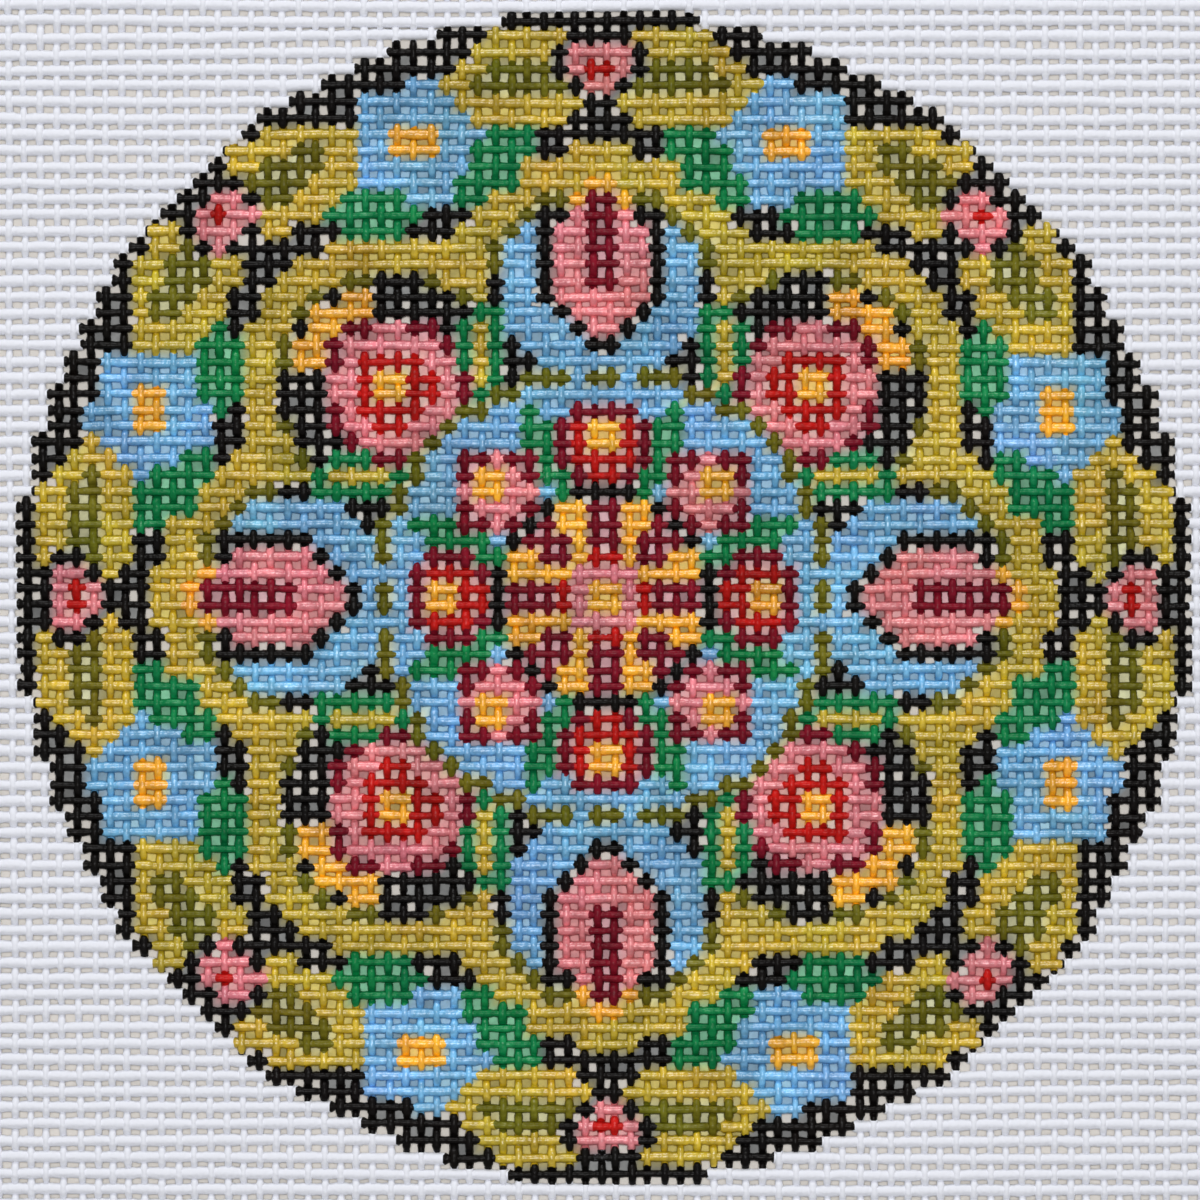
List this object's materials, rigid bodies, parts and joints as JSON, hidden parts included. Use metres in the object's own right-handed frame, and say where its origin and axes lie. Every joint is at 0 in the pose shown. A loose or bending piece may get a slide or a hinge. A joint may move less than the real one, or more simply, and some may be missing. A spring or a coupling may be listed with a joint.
{
  "type": "needlepoint canvas panel",
  "caption": "Flat square of stiff white mono needlepoint canvas with a painted round medallion, ready to be stitched.",
  "frame": {"origin": "middle of the underside of the canvas", "axes": "+Z out of the painted face, +X along the weft threads, +Y along the warp threads to the top of the design"},
  "size_m": [0.1524, 0.1524, 0.001],
  "materials": {
    "canvas": "bleached cotton mono canvas, sized stiff, with a round medallion in matt acrylic paint"
  },
  "bodies": {
    "root": {"canvas_panel": "canvas"}
  },
  "joints": []
}
